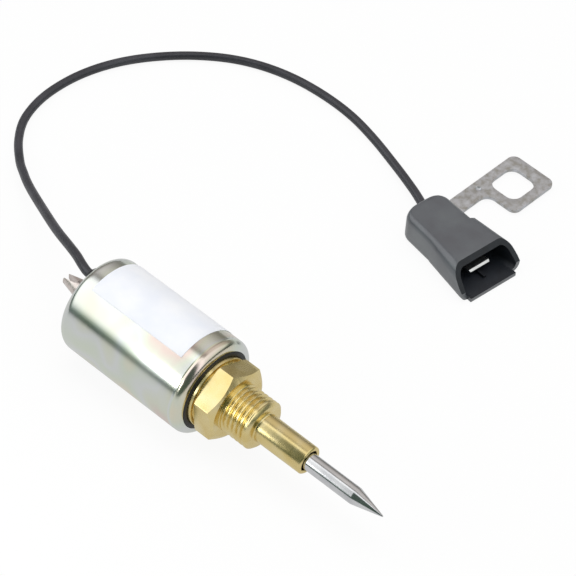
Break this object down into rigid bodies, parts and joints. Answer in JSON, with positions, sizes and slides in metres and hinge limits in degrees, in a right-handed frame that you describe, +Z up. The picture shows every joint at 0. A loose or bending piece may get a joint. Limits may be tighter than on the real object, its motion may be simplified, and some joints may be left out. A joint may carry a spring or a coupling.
{
  "type": "fuel shutoff solenoid",
  "caption": "Screw-in fuel shutoff solenoid with a plated steel can, brass hex fitting, sliding tapered needle, and a lead to a one-way connector on a steel strap.",
  "frame": {"origin": "on the surface that the solenoid lies on, under its axis and in the middle of its length, stub and needle included", "axes": "+X along the solenoid's axis towards the needle's point, +Y to the side on which the lead and connector lie, +Z up"},
  "size_m": [0.1521, 0.1254, 0.0241],
  "materials": {
    "plated_steel": "bright zinc plate with a pale iridescent passivation",
    "label_paper": "smooth white coated paper, satin",
    "core_steel": "plated soft iron, satin",
    "black_rubber": "moulded, satin",
    "fibre_disc": "pressed fibre, matt",
    "bobbin_nylon": "moulded, matt",
    "copper_wire": "enamelled copper wire, glossy",
    "coil_tape": "polyester tape, satin",
    "crimp_brass": "drawn, bright",
    "turned_brass": "turned and bright dipped",
    "needle_steel": "ground stainless, bright",
    "spring_steel": "drawn stainless wire",
    "lead_vinyl": "extruded vinyl, satin",
    "connector_nylon": "moulded nylon, satin",
    "tinned_brass": "tin plated, bright",
    "strap_steel": "zinc plated sheet, satin"
  },
  "bodies": {
    "solenoid": {"can_shell": "plated_steel", "can_label": "label_paper", "fixed_core": "core_steel", "lead_grommet": "black_rubber", "rear_insulator": "fibre_disc", "bobbin": "bobbin_nylon", "coil_winding": "copper_wire", "coil_wrap": "coil_tape", "lead_ferrule": "crimp_brass", "earth_pin": "copper_wire", "guide_tube": "crimp_brass", "pole_washer": "core_steel", "shim_washer": "crimp_brass", "tube_seal": "black_rubber", "seal_ring": "black_rubber", "valve_body": "turned_brass", "return_spring": "spring_steel", "lead": "lead_vinyl", "connector_housing": "connector_nylon", "blade_terminal": "tinned_brass", "mounting_strap": "strap_steel"},
    "plunger": {"armature": "core_steel", "needle": "needle_steel"}
  },
  "joints": [
    {"name": "plunger_slide", "type": "slide", "parent": "solenoid", "child": "plunger", "axis": [1, 0, 0], "range_m": [-0.003, 0], "stiffness_N_per_m": 200, "springref_m": 0.006, "deforming": ["return_spring"]}
  ]
}
